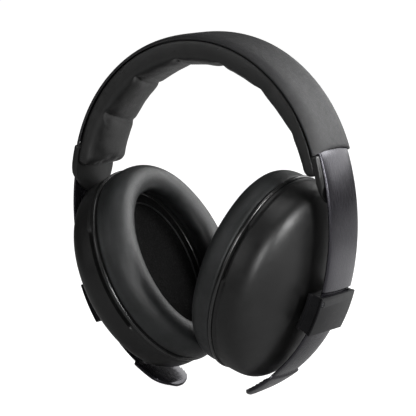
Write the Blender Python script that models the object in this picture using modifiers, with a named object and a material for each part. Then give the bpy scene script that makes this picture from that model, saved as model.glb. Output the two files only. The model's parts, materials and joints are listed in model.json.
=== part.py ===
"""Earmuff hearing protector: two oval cups that slide on the arms of a padded headband.

Metres, +Z up. X runs from ear to ear, the right cup at +X, and -Y is the front.
The origin is the middle of the wearer's head, halfway between the cups' rims.
"""

from math import asin, cos, pi, radians, sin

import bmesh
import bpy
from mathutils import Matrix, Vector

MM = 0.001
GAP = 0.3 * MM  # between neighbours that touch on the real object

# The outer face of the band: arcs of (radius, turn in degrees), from the crown down one side.
CROWN_HEIGHT = 93.6 * MM
BAND_ARCS = [(58.4 * MM, 33.5), (64.5 * MM, 39.6), (93.8 * MM, 35.3), (67.6 * MM, 60.0)]
LOWER_ARC = 3  # the arc that the slider runs on

# Stations along that face, as arc lengths from the crown.
COVER_END = 76.3 * MM
ARM_START = 74.3 * MM
SPRING_END = 73.0 * MM
SHOULDER = 132.5 * MM
STOP_SHOULDER = 177.0 * MM
ARM_END = 196.0 * MM

ARM_THICKNESS = 1.9 * MM
ARM_HALF_WIDTH = 10.55 * MM
RAIL_HALF_WIDTH = 9.4 * MM  # the arm below its shoulder, where the slider runs
ARM_CROWN = 1.2 * MM
RAIL_DROP = 0.7 * MM  # how far the rail's outer face lies under the arm's

COVER_HALF_WIDTH = 13.45 * MM
COVER_WALL = 0.75 * MM
COVER_TOP = 0.95 * MM
COVER_EDGE = (-0.2 * MM, -1.8 * MM)  # the edge of the crowned face, at the crown and at the ends
COVER_SKIRT = 0.9 * MM  # below that edge

# The liner is the inner strip that carries the pad and ends in a tongue under each arm.
LINER_DEPTH = 2.9 * MM
LINER_ARCS = [(55.5 * MM, 33.5), (61.6 * MM, 38.0), (55.0 * MM, 30.0)]
LINER_THICKNESS = 1.2 * MM
LINER_HALF_WIDTH = 12.1 * MM
LINER_RIM = 0.65 * MM  # the raised side rims, above the liner's middle
TONGUE_HALF_WIDTH = 13.6 * MM
TONGUE_RIM = 2.0 * MM
TONGUE_START = 73.3 * MM
TONGUE_END = 94.8 * MM
RIM_WIDTH = 2.3 * MM

PAD_CELLS = 7
PAD_END = 82.6 * MM
PAD_HALF_WIDTH = 13.2 * MM
PAD_DEPTH = (7.8 * MM, 7.0 * MM)  # at the crown and at the ends
PAD_SEAM_SHARE = 0.8
PAD_LIP = (1.45 * MM, -0.85 * MM)  # the lip beside the liner, from the liner's middle
LIP_WIDTH = 0.6 * MM

# The slider that carries each cup.
SLIDER_CENTRE = 143.1 * MM
SLIDER_LENGTH = 16.5 * MM
SLIDER_HALF_WIDTH = 12.1 * MM
FLANGE_HALF_WIDTH = 12.9 * MM
SLIDER_FLOOR = -2.9 * MM
SLIDER_FLANGE_TOP = -4.7 * MM
SLIDER_BOTTOM = -5.9 * MM
SLIDER_TOP = -0.6 * MM
SLIDER_COVER_THICKNESS = 0.8 * MM
SCREW_PLACE = (-10.9 * MM, -5.4 * MM)  # across and along the slider cover
SCREW_HEAD = 1.0 * MM
SCREW_SHANK = 0.55 * MM

BALL_RADIUS = 1.9 * MM
BALL_DEPTH = -4.4 * MM  # the ball's centre, from the arm's outer face
NECK_RADIUS = 1.2 * MM

# Each cup, in its own frame: x out of the head, z up the cup, the origin on the rim's middle.
CUP_TILT = radians(20.9)
CUP_CENTRE = Vector((26.4, 0.0, 0.0)) * MM
LEFT_LOWER = radians(2.3)  # the left slider stands this much further down its arc
LEFT_EXTRA_TILT = radians(2.4)  # and the left cup hangs a little more closed on it
RIM = (36.9 * MM, 41.2 * MM)  # half width and half height
DOME_HEIGHT = 24.2 * MM
RIM_WALL = 8.2 * MM
SHOULDER_RADIUS = 8.0 * MM
SHOULDER_SLOPE = radians(34.0)
SHELL_WALL = 2.0 * MM
PLATE_HALF = 0.7 * MM
PLATE_OUTER = (37.3 * MM, 41.6 * MM)
PLATE_HOLE = (25.0 * MM, 31.3 * MM)
SLOT_DEPTH = 1.3 * MM
SLOT_WIDTH = 1.5 * MM
SLOTS = [(-1, 3.0 * MM, 25.0 * MM), (1, -22.0 * MM, 20.0 * MM)]  # side, from, to
STUD_HOLE = 2.5 * MM

# The cushion's ring section: half width, half height and x, in mm, round the section.
CUSHION_SECTION = [
    (36.0, 40.2, -1.0), (36.6, 41.0, -4.0), (36.0, 40.7, -8.0), (33.7, 39.0, -11.1),
    (30.2, 36.3, -12.5), (26.3, 32.8, -12.5), (23.4, 29.9, -10.6), (22.9, 29.4, -8.4),
    (24.3, 30.8, -5.0), (26.6, 33.0, -1.0),
]
FOAM_SECTION = [(31.0, 35.0, 2.2), (32.2, 36.2, 8.0), (29.0, 32.8, 13.0), (19.0, 22.0, 16.8)]
CLOTH = (32.6 * MM, 36.8 * MM)

OVAL_POINTS = 40
BAND_STEP = 5.0 * MM

COLOURS = {
    "cover_leather": ((0.030, 0.030, 0.033), 0.55, 0.0),
    "pad_leather": ((0.022, 0.022, 0.024), 0.50, 0.0),
    "satin_plastic": ((0.045, 0.044, 0.048), 0.38, 0.0),
    "shell_plastic": ((0.016, 0.016, 0.017), 0.42, 0.0),
    "liner_plastic": ((0.030, 0.030, 0.032), 0.40, 0.0),
    "cushion_leather": ((0.030, 0.030, 0.033), 0.42, 0.0),
    "dark_foam": ((0.010, 0.010, 0.011), 0.95, 0.0),
    "dark_cloth": ((0.012, 0.012, 0.013), 0.95, 0.0),
    "steel": ((0.35, 0.35, 0.36), 0.35, 1.0),
    "stud_plastic": ((0.12, 0.12, 0.12), 0.40, 0.0),
}


def clear_scene():
    for obj in list(bpy.data.objects):
        bpy.data.objects.remove(obj, do_unlink=True)


def new_collection(name):
    collection = bpy.data.collections.new(name)
    bpy.context.scene.collection.children.link(collection)
    return collection


def make_material(name):
    colour, roughness, metallic = COLOURS[name]
    material = bpy.data.materials.new(name)
    material.use_nodes = True
    shader = material.node_tree.nodes["Principled BSDF"]
    shader.inputs["Base Color"].default_value = (*colour, 1.0)
    shader.inputs["Roughness"].default_value = roughness
    shader.inputs["Metallic"].default_value = metallic
    return material


def add_object(name, mesh, material=None, collection=None):
    obj = bpy.data.objects.new(name, mesh)
    (collection or PARTS).objects.link(obj)
    if material:
        mesh.materials.clear()
        mesh.materials.append(MATERIALS[material])
    return obj


def mesh_from(bm, name):
    bmesh.ops.recalc_face_normals(bm, faces=bm.faces)
    mesh = bpy.data.meshes.new(name)
    bm.to_mesh(mesh)
    bm.free()
    mesh.shade_smooth()
    mesh.set_sharp_from_angle(angle=radians(35))
    return mesh


def loft(name, rings, material, ring_loop=False, capped=True):
    """A skin through rings of equal point counts. ring_loop joins the last ring to the first."""
    bm = bmesh.new()
    rows = [[bm.verts.new(p) for p in ring] for ring in rings]
    pairs = list(zip(rows, rows[1:]))
    if ring_loop:
        pairs.append((rows[-1], rows[0]))
    for low, high in pairs:
        count = len(low)
        for i in range(count):
            j = (i + 1) % count
            bm.faces.new((low[i], low[j], high[j], high[i]))
    if capped and not ring_loop:
        bm.faces.new(list(reversed(rows[0])))
        bm.faces.new(rows[-1])
    return add_object(name, mesh_from(bm, name), material)


def baked(obj):
    """Replaces the object's mesh by what its modifiers make of it."""
    bpy.context.view_layer.update()
    graph = bpy.context.evaluated_depsgraph_get()
    mesh = bpy.data.meshes.new_from_object(obj.evaluated_get(graph))
    obj.modifiers.clear()
    obj.data = mesh
    mesh.shade_smooth()
    mesh.set_sharp_from_angle(angle=radians(35))
    return obj


def add_cutter(name, mesh, matrix):
    cutter = add_object(name, mesh, collection=CUTTERS)
    cutter.matrix_world = matrix
    cutter.hide_render = True
    cutter.display_type = "WIRE"
    return cutter


def cut(obj, cutter):
    modifier = obj.modifiers.new(cutter.name, "BOOLEAN")
    modifier.operation = "DIFFERENCE"
    modifier.object = cutter


def cylinder_mesh(name, radius, length, segments=20):
    """A cylinder along x, centred on the origin."""
    bm = bmesh.new()
    bmesh.ops.create_cone(
        bm, cap_ends=True, segments=segments, radius1=radius, radius2=radius, depth=length
    )
    bmesh.ops.rotate(bm, verts=bm.verts, matrix=Matrix.Rotation(pi / 2, 3, "Y"))
    return mesh_from(bm, name)


def sphere_mesh(name, radius):
    bm = bmesh.new()
    bmesh.ops.create_uvsphere(bm, u_segments=20, v_segments=12, radius=radius)
    return mesh_from(bm, name)


def turned(name, profile, material, segments=20):
    """Turns a closed loop of (x, radius) points round the x axis."""
    rings = []
    for k in range(segments):
        a = 2 * pi * k / segments
        rings.append([Vector((x, r * cos(a), r * sin(a))) for x, r in profile])
    return loft(name, rings, material, ring_loop=True)


class Path:
    """A run of arcs in the XZ plane, starting level at the crown and turning down towards +X."""

    def __init__(self, top, arcs):
        self.pieces = []
        place, heading, start = Vector((0, 0, top)), 0.0, 0.0
        for radius, turn in arcs:
            turn = radians(turn)
            centre = place - radius * Vector((sin(heading), 0, cos(heading)))
            self.pieces.append((start, radius, centre, heading))
            heading += turn
            place = centre + radius * Vector((sin(heading), 0, cos(heading)))
            start += radius * turn

    def heading(self, s):
        start, radius, _, first = [p for p in self.pieces if p[0] <= s][-1]
        return first + (s - start) / radius

    def at(self, s, out=0.0, across=0.0):
        """The point at arc length s, `out` along the outward normal and `across` in y."""
        side = -1 if s < 0 else 1
        s = abs(s)
        _, radius, centre, _ = [p for p in self.pieces if p[0] <= s][-1]
        h = self.heading(s)
        p = centre + (radius + out) * Vector((sin(h), 0, cos(h)))
        return Vector((side * p.x, across, p.z))


def spaced(start, end, step=BAND_STEP):
    count = max(2, round(abs(end - start) / step) + 1)
    return [start + (end - start) * k / (count - 1) for k in range(count)]


def swept(name, path, stations, section, material):
    """Lofts section(s), a list of (across, out) points, along the path's stations."""
    rings = [[path.at(s, out, across) for across, out in section(s)] for s in stations]
    return loft(name, rings, material)


def strip_section(half_width, top, thickness, crown=0.0):
    """A strip whose outer face falls by `crown` at its edges."""
    inner = top - thickness
    return [
        (-half_width, inner), (half_width, inner), (half_width, top - crown),
        (0.75 * half_width, top - 0.25 * crown), (0.3 * half_width, top),
        (-0.3 * half_width, top), (-0.75 * half_width, top - 0.25 * crown),
        (-half_width, top - crown),
    ]


def round_end(half_width, left, radius):
    """The half width at a distance `left` before an end rounded with `radius` corners."""
    if left >= radius:
        return half_width
    fall = radius - max(left, 0.0)
    return half_width - radius + (max(radius**2 - fall**2, 0.0)) ** 0.5


# Headband -------------------------------------------------------------------------------


def make_cover():
    wall, inner_top = COVER_WALL, COVER_TOP - COVER_WALL

    def section(s):
        share = (s / COVER_END) ** 2
        edge = COVER_EDGE[0] * (1 - share) + COVER_EDGE[1] * share
        outer, inner = [], []
        for k in range(-6, 7):
            across = k / 6 * COVER_HALF_WIDTH
            fall = (COVER_TOP - edge) * abs(k / 6) ** 6
            outer.append((across, COVER_TOP - fall))
            inner.append((across * (1 - wall / COVER_HALF_WIDTH), inner_top - fall))
        skirt = COVER_HALF_WIDTH + 0.1 * MM
        low = edge - COVER_SKIRT
        return (
            [(-skirt, low)] + outer + [(skirt, low), (skirt - wall, low)]
            + inner[::-1] + [(wall - skirt, low)]
        )

    return swept("headband_cover", BAND, spaced(-COVER_END, COVER_END), section, "cover_leather")


def make_spring():
    def section(_):
        return strip_section(8.0 * MM, -0.75 * MM, 1.2 * MM)

    return swept("spring_band", BAND, spaced(-SPRING_END, SPRING_END), section, "steel")


def make_liner():
    beside_arm = ARM_HALF_WIDTH + 0.35 * MM
    top = LINER_THICKNESS / 2

    def section(s):
        """The rear side stays narrow and low. The tongue's front side is wide, with a raised rim."""
        tongue, left = abs(s) > TONGUE_START, TONGUE_END - abs(s)
        rear = round_end(LINER_HALF_WIDTH, left, 11.1 * MM)
        inner = max(rear - RIM_WIDTH, 0.3 * MM)
        front = round_end(TONGUE_HALF_WIDTH if tongue else LINER_HALF_WIDTH, left, 12.6 * MM)
        inside, rim = front - RIM_WIDTH, LINER_RIM
        if tongue:
            inside = min(max(inside, beside_arm), front - 0.3 * MM)
        if tongue and inside >= beside_arm:
            rim = TONGUE_RIM
        return [
            (-front, -top), (rear, -top), (rear, LINER_RIM), (inner, LINER_RIM), (inner, top),
            (-inside, top), (-inside, rim), (-front, rim),
        ]

    side = spaced(TONGUE_START + 0.2 * MM, TONGUE_END - 12.6 * MM) + [
        TONGUE_END - 12.6 * MM * (1 - sin(radians(a))) for a in (15, 30, 45, 60, 75, 90)
    ]
    middle = spaced(-TONGUE_START + 0.2 * MM, TONGUE_START - 0.2 * MM)
    stations = [-s for s in reversed(side)] + middle + side
    return swept("headband_liner", LINER, stations, section, "liner_plastic")


def make_pad():
    cell = 2 * PAD_END / PAD_CELLS
    top = -LINER_THICKNESS / 2 - GAP

    def section(s):
        share = (s / PAD_END) ** 2
        depth = PAD_DEPTH[0] * (1 - share) + PAD_DEPTH[1] * share
        bulge = abs(sin(pi * (s + PAD_END) / cell)) ** 0.5
        depth *= PAD_SEAM_SHARE + (1 - PAD_SEAM_SHARE) * bulge
        half = round_end(PAD_HALF_WIDTH, PAD_END - abs(s), 3.0 * MM)
        fall = (PAD_LIP[0] - PAD_LIP[1]) * (s / TONGUE_START) ** 2
        lip = max(PAD_LIP[0] - fall, PAD_LIP[1])
        inside = half - LIP_WIDTH
        return [
            (-inside, top), (inside, top), (inside, lip), (half, lip), (half, top - 0.4 * depth),
            (half - 1.6 * MM, top - 0.85 * depth), (0.5 * half, top - depth),
            (-0.5 * half, top - depth), (1.6 * MM - half, top - 0.85 * depth),
            (-half, top - 0.4 * depth), (-half, lip), (-inside, lip),
        ]

    shares = (0.0, 0.04, 0.15, 0.35, 0.65, 0.85, 0.96)
    stations = [-PAD_END + cell * (k + f) for k in range(PAD_CELLS) for f in shares] + [PAD_END]
    return swept("headband_pad", LINER, stations, section, "pad_leather")


def arm_half_width(s):
    if s <= SHOULDER:
        return ARM_HALF_WIDTH
    if s < STOP_SHOULDER:
        return RAIL_HALF_WIDTH
    return round_end(ARM_HALF_WIDTH, ARM_END - s, 9.0 * MM)


def make_arm():
    def section(s):
        drop = RAIL_DROP if SHOULDER < s < STOP_SHOULDER else 0.0
        return strip_section(arm_half_width(s), -drop, ARM_THICKNESS - 0.3 * drop, ARM_CROWN)

    step = 0.3 * MM
    stations = (
        spaced(ARM_START, SHOULDER, 4.0 * MM)
        + spaced(SHOULDER + step, STOP_SHOULDER - step, 4.0 * MM)
        + spaced(STOP_SHOULDER, ARM_END - 9.0 * MM, 4.0 * MM)
        + [ARM_END - 9.0 * MM * (1 - sin(radians(a))) for a in (15, 30, 45, 60, 75, 90)]
    )
    return swept("right_arm", BAND, stations, section, "satin_plastic")


# Slider ---------------------------------------------------------------------------------


def slider_frame(out):
    """The frame on the slider's middle: x outward along the arm's normal, z up the arm."""
    h = BAND.heading(SLIDER_CENTRE)
    x = Vector((sin(h), 0, cos(h)))
    y = Vector((0, 1, 0))
    frame = Matrix((x, y, x.cross(y))).transposed().to_4x4()
    frame.translation = BAND.at(SLIDER_CENTRE, out)
    return frame


def slider_stations(half_length):
    return spaced(SLIDER_CENTRE - half_length, SLIDER_CENTRE + half_length, 2.8 * MM)


def make_slider_base():
    wall = RAIL_HALF_WIDTH + 0.35 * MM

    def section(_):
        return [
            (-FLANGE_HALF_WIDTH, SLIDER_BOTTOM), (FLANGE_HALF_WIDTH, SLIDER_BOTTOM),
            (FLANGE_HALF_WIDTH, SLIDER_FLANGE_TOP), (SLIDER_HALF_WIDTH, SLIDER_FLANGE_TOP),
            (SLIDER_HALF_WIDTH, SLIDER_TOP), (wall, SLIDER_TOP), (wall, SLIDER_FLOOR),
            (-wall, SLIDER_FLOOR), (-wall, SLIDER_TOP), (-SLIDER_HALF_WIDTH, SLIDER_TOP),
            (-SLIDER_HALF_WIDTH, SLIDER_FLANGE_TOP), (-FLANGE_HALF_WIDTH, SLIDER_FLANGE_TOP),
        ]

    stations = slider_stations(SLIDER_LENGTH / 2)
    base = swept("right_slider_base", BAND, stations, section, "satin_plastic")
    pocket = sphere_mesh("ball_pocket", BALL_RADIUS + GAP)
    cut(base, add_cutter("ball_pocket", pocket, slider_frame(BALL_DEPTH)))
    across, along = SCREW_PLACE
    hole = cylinder_mesh("screw_pilot", SCREW_SHANK + GAP, 5.0 * MM, 12)
    place = slider_frame(0) @ Matrix.Translation((SLIDER_TOP - 1.4 * MM, across, -along))
    cut(base, add_cutter("screw_pilot", hole, place))
    return baked(base)


def make_slider_cover():
    low = SLIDER_TOP + GAP
    high = low + SLIDER_COVER_THICKNESS
    half = SLIDER_HALF_WIDTH

    def section(_):
        return [
            (-half, low), (half, low), (half, high - 0.4 * MM), (half - 0.4 * MM, high),
            (0.4 * MM - half, high), (-half, high - 0.4 * MM),
        ]

    cover = swept(
        "right_slider_cover", BAND, slider_stations(SLIDER_LENGTH / 2), section, "satin_plastic"
    )
    across, along = SCREW_PLACE
    hole = cylinder_mesh("screw_hole", SCREW_HEAD + GAP, 5.0 * MM, 16)
    place = slider_frame(0) @ Matrix.Translation((high, across, -along))
    cut(cover, add_cutter("screw_hole", hole, place))
    return baked(cover)


def make_slider_screw():
    """A small recessed screw that runs from the slider's cover into its base."""
    top = SLIDER_TOP + GAP + SLIDER_COVER_THICKNESS - 0.25 * MM
    head = SLIDER_TOP + GAP + 0.05 * MM
    low = SLIDER_TOP - 3.2 * MM
    profile = [(top, SCREW_HEAD), (head, SCREW_HEAD), (head, SCREW_SHANK), (low, SCREW_SHANK)]
    screw = solid_of_revolution("right_slider_screw", profile, "steel", 12)
    across, along = SCREW_PLACE
    screw.data.transform(slider_frame(0) @ Matrix.Translation((0, across, -along)))
    return screw


# Pivot ----------------------------------------------------------------------------------


def solid_of_revolution(name, profile, material, segments=20):
    """Turns an open line of (x, radius) points round the x axis, and closes both ends."""
    rings = [
        [
            Vector((x, r * cos(2 * pi * k / segments), r * sin(2 * pi * k / segments)))
            for k in range(segments)
        ]
        for x, r in profile
    ]
    return loft(name, rings, material)


def cup_frame():
    """The cup's own frame at rest, in the right cup's place."""
    return Matrix.Translation(CUP_CENTRE) @ Matrix.Rotation(CUP_TILT, 4, "Y")


def pivot_point():
    return slider_frame(BALL_DEPTH).translation


def stud_frame():
    """The cup's directions, with the origin on the ball's middle."""
    return Matrix.Translation(pivot_point()) @ Matrix.Rotation(CUP_TILT, 4, "Y")


def stud_offset():
    """The ball's middle in the cup's frame."""
    return cup_frame().inverted() @ pivot_point()


def make_ball_stud():
    start = asin(NECK_RADIUS / BALL_RADIUS)
    steps = 7
    profile = []
    for k in range(steps):
        a = radians(12) + (pi - start - radians(12)) * k / (steps - 1)
        profile.append((BALL_RADIUS * cos(a), BALL_RADIUS * sin(a)))
    profile.append((-8.6 * MM, NECK_RADIUS))
    stud = solid_of_revolution("right_ball_stud", profile, "stud_plastic")
    stud.data.transform(stud_frame())
    return stud


def make_ring(name, low, high, outer, material):
    """A washer or nut round the stud, between two x values measured from the dome's crown."""
    hole = NECK_RADIUS + GAP
    profile = [(low, hole), (high, hole), (high, outer), (low, outer)]
    ring = turned(name, profile, material)
    crown = DOME_HEIGHT - stud_offset().x
    ring.data.transform(stud_frame() @ Matrix.Translation((crown, 0, 0)))
    return ring


# Cup ------------------------------------------------------------------------------------


def oval(half_width, half_height, x):
    points = []
    for k in range(OVAL_POINTS):
        a = 2 * pi * k / OVAL_POINTS
        points.append(Vector((x, half_width * cos(a), half_height * sin(a))))
    return points


def dome_profile():
    """(inset from the rim, x) from the rim to the crown: a wall, a rounded shoulder, a low dome."""
    wall_foot = PLATE_HALF + GAP
    points = [(0.25 * MM, wall_foot), (0.25 * MM, wall_foot + SLOT_WIDTH)]
    points += [(0.0, wall_foot + SLOT_WIDTH + 0.2 * MM), (0.0, RIM_WALL)]
    for a in (25, 45):
        points.append((
            SHOULDER_RADIUS * (1 - cos(radians(a))),
            RIM_WALL + SHOULDER_RADIUS * sin(radians(a)),
        ))
    edge = SHOULDER_RADIUS * (1 - sin(SHOULDER_SLOPE))
    height = RIM_WALL + SHOULDER_RADIUS * cos(SHOULDER_SLOPE)
    points.append((edge, height))
    reach = RIM[0] - edge
    radius = (reach**2 + (DOME_HEIGHT - height) ** 2) / (2 * (DOME_HEIGHT - height))
    for share in (0.72, 0.45, 0.2):
        r = reach * share
        points.append((RIM[0] - r, DOME_HEIGHT - radius + (radius**2 - r**2) ** 0.5))
    return points


def make_cup_shell():
    rings = []
    for inset, x in dome_profile():
        share = (RIM[0] - inset) / RIM[0]
        ring = oval(RIM[0] * share, RIM[1] - inset if inset < 9 * MM else RIM[1] * share, x)
        if x < PLATE_HALF + GAP + SLOT_WIDTH + 0.1 * MM:
            for p in ring:
                if any(side * p.y > 0 and low < p.z < high for side, low, high in SLOTS):
                    flat = Vector((0, p.y, p.z))
                    flat *= (flat.length - SLOT_DEPTH) / flat.length
                    p.y, p.z = flat.y, flat.z
        rings.append(ring)
    bm = bmesh.new()
    rows = [[bm.verts.new(p) for p in ring] for ring in rings]
    for low, high in zip(rows, rows[1:]):
        for i in range(OVAL_POINTS):
            j = (i + 1) % OVAL_POINTS
            bm.faces.new((low[i], low[j], high[j], high[i]))
    bm.faces.new(rows[-1])
    shell = add_object("right_cup_shell", mesh_from(bm, "right_cup_shell"), "shell_plastic")
    solidify = shell.modifiers.new("wall", "SOLIDIFY")
    solidify.thickness = SHELL_WALL
    solidify.offset = -1
    offset = stud_offset()
    hole = cylinder_mesh("stud_hole", STUD_HOLE, 12 * MM)
    place = Matrix.Translation((DOME_HEIGHT, offset.y, offset.z))
    cut(shell, add_cutter("stud_hole", hole, place))
    baked(shell)
    shell.data.transform(cup_frame())
    return shell


def make_cushion_plate():
    (a, b), (c, d), h = PLATE_OUTER, PLATE_HOLE, PLATE_HALF
    edge = 0.35 * MM
    section = [(a - edge, b - edge, -h), (a, b, edge - h), (a, b, h - edge), (a - edge, b - edge, h),
               (c, d, h), (c, d, -h)]
    plate = loft(
        "right_cushion_plate", [oval(*p) for p in section], "satin_plastic", ring_loop=True
    )
    plate.data.transform(cup_frame())
    return plate


def make_ear_cushion():
    rings = [oval(a * MM, b * MM, x * MM) for a, b, x in CUSHION_SECTION]
    cushion = loft("right_ear_cushion", rings, "cushion_leather", ring_loop=True)
    cushion.data.transform(cup_frame())
    return cushion


def make_foam():
    rings = [oval(a * MM, b * MM, x * MM) for a, b, x in FOAM_SECTION]
    foam = loft("right_acoustic_foam", rings, "dark_foam")
    foam.data.transform(cup_frame())
    return foam


def make_cloth():
    low = PLATE_HALF + GAP
    rings = [oval(*CLOTH, low), oval(*CLOTH, low + 0.8 * MM)]
    cloth = loft("right_foam_cloth", rings, "dark_cloth")
    cloth.data.transform(cup_frame())
    return cloth


# Assembly -------------------------------------------------------------------------------


def add_empty(name, place, parent=None):
    empty = bpy.data.objects.new(name, None)
    empty.empty_display_size = 0.01
    PARTS.objects.link(empty)
    empty.parent = parent
    empty.location = place - (parent.matrix_world.translation if parent else Vector())
    bpy.context.view_layer.update()
    return empty


def hang(obj, parent):
    """Parents the object, whose mesh is in world places, and puts its origin on the joint."""
    obj.data.transform(Matrix.Translation(-parent.matrix_world.translation))
    obj.parent = parent


def copy_to_left(pieces, empties):
    """The left side is the right side turned half round, so both share their meshes."""
    half_turn = Matrix.Rotation(pi, 4, "Z")
    centre = Matrix.Translation(BAND.pieces[LOWER_ARC][2])
    lower = centre @ Matrix.Rotation(LEFT_LOWER, 4, "Y") @ centre.inverted()
    tilt = Matrix.Rotation(LEFT_EXTRA_TILT, 4, "Y")
    turned_empties = {}
    for empty in empties:
        name = empty.name.replace("right", "left")
        copy = bpy.data.objects.new(name, None)
        copy.empty_display_size = empty.empty_display_size
        PARTS.objects.link(copy)
        copy.matrix_world = half_turn @ empty.matrix_world
        if name != "left_arm_hinge":
            copy.matrix_world = half_turn @ lower @ empty.matrix_world
        if name == "left_pivot":
            copy.matrix_world = copy.matrix_world @ tilt
        turned_empties[empty] = copy
    for piece in pieces:
        copy = piece.copy()
        copy.name = piece.name.replace("right", "left")
        PARTS.objects.link(copy)
        copy.parent = turned_empties[piece.parent]


def build_headband():
    root = add_empty("headband", Vector())
    for piece in (make_cover(), make_spring(), make_liner(), make_pad()):
        hang(piece, root)


def build_right_side():
    hinge = add_empty("right_arm_hinge", BAND.at(COVER_END, 0.1 * MM))
    arc_centre = add_empty("right_slider_centre", BAND.pieces[LOWER_ARC][2])
    pivot = add_empty("right_pivot", pivot_point())
    hang(make_arm(), hinge)
    for piece in (make_slider_base(), make_slider_cover(), make_slider_screw()):
        hang(piece, arc_centre)
    for piece in (
        make_ball_stud(),
        make_ring("right_stud_washer", -3.6 * MM, -2.7 * MM, 4.2 * MM, "steel"),
        make_ring("right_stud_nut", -5.2 * MM, -3.9 * MM, 2.9 * MM, "steel"),
        make_cup_shell(), make_cushion_plate(), make_ear_cushion(), make_foam(), make_cloth(),
    ):
        hang(piece, pivot)
    return [hinge, arc_centre, pivot]


def main():
    build_headband()
    empties = build_right_side()
    pieces = [obj for obj in PARTS.objects if obj.parent in empties]
    copy_to_left(pieces, empties)


clear_scene()
PARTS = new_collection("earmuff")
CUTTERS = new_collection("cutters")
MATERIALS = {name: make_material(name) for name in COLOURS}
BAND = Path(CROWN_HEIGHT, BAND_ARCS)
LINER = Path(CROWN_HEIGHT - LINER_DEPTH, LINER_ARCS)
main()
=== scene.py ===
"""Looks of the earmuff hearing protector: soft leatherette pads, moulded cups, arms and sliders.

Lengths are in metres. X runs from ear to ear, the right cup at +X, and -Y is the front.
Pieces are shaped in the right side's place. The left ones are copies of them, turned half round,
with the slider a little lower and the cup also tilted further in.
"""

import json
from math import cos, exp, pi, radians, sin, sqrt

import bmesh
import bpy
from mathutils import Matrix, Vector, noise

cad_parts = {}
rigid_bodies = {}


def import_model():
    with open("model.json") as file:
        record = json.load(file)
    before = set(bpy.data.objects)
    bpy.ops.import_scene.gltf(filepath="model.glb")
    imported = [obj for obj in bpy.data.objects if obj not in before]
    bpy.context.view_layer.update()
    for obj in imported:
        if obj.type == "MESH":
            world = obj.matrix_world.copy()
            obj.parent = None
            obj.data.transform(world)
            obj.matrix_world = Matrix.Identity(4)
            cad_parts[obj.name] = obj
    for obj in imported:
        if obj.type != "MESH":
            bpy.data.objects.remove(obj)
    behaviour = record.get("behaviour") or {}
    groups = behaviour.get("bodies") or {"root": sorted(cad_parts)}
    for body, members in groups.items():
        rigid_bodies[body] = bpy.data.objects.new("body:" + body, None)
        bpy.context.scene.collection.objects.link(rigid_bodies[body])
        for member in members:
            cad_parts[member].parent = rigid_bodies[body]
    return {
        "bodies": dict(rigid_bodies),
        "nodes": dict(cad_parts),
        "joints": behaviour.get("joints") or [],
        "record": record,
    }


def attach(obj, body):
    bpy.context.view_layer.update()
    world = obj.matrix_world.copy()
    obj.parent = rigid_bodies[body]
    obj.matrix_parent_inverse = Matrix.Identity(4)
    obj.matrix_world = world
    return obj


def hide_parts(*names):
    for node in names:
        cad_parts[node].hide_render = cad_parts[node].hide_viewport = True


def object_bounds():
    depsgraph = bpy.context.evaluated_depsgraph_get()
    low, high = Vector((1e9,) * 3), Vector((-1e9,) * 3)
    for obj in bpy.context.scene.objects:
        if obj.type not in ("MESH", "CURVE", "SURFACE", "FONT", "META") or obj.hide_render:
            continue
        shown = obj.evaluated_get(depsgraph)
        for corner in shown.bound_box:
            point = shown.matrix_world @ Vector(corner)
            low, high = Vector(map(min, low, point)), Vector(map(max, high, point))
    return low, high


MM = 0.001

# The outer face of the band: arcs of (radius, turn in degrees), from the crown down one side.
CROWN_HEIGHT = 93.6 * MM
BAND_ARCS = [(58.4 * MM, 33.5), (64.5 * MM, 39.6), (93.8 * MM, 35.3), (67.6 * MM, 60.0)]
LOWER_ARC = 3
LINER_DEPTH = 2.9 * MM
LINER_ARCS = [(55.5 * MM, 33.5), (61.6 * MM, 38.0), (55.0 * MM, 30.0)]

# Stations along the band, as arc lengths from the crown.
COVER_END = 76.3 * MM
ARM_START = 74.6 * MM
SHOULDER = 132.5 * MM
STOP_SHOULDER = 177.0 * MM
ARM_END = 196.0 * MM
SLIDER_CENTRE = 143.1 * MM
SLIDER_LENGTH = 16.5 * MM
BALL_DEPTH = -4.4 * MM

# Stations along the liner.
TONGUE_START = 73.8 * MM
TONGUE_END = 94.8 * MM
PAD_END = 82.6 * MM
PAD_CELLS = 7

COVER_HALF_WIDTH = 13.5 * MM
ARM_HALF_WIDTH = 10.55 * MM
RAIL_HALF_WIDTH = 9.4 * MM
LINER_HALF_WIDTH = 12.1 * MM
TONGUE_HALF_WIDTH = 13.6 * MM
PAD_HALF_WIDTH = 13.3 * MM
SLIDER_HALF_WIDTH = 12.1 * MM

COVER_CROWN = 0.95 * MM  # how far the cover's middle stands off the band's outer face
COVER_WALL = 0.75 * MM
COVER_GAP = 0.16 * MM  # how much lower the arm's top is where it runs into the cover
CLEAR_OF_COVER = COVER_END + 2.7 * MM
LINER_THICKNESS = 1.2 * MM
LINER_RIM_WIDTH = 2.3 * MM
TONGUE_RADIUS = 12.6 * MM
TONGUE_REAR_RADIUS = 11.1 * MM
PAD_TOP = -0.9 * MM  # the face that lies on the liner
PAD_DEPTH = 7.8 * MM
PAD_DEPTH_LOSS = 0.9 * MM  # how much shallower the pad is at its ends
SEAM_WIDTH = 1.5 * MM
SEAM_SLANT = 0.27
ARM_THICKNESS = 1.9 * MM
RAIL_THICKNESS_LOSS = 0.2 * MM
TOOTH_PITCH = 2.2 * MM
TOOTH_HEIGHT = 0.55 * MM
SCREW_OFFSET = Matrix.Translation((0, -10.6 * MM, 5.4 * MM))  # from the slider's centre
SCREW_HOLE_RADIUS = 1.25 * MM

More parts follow.
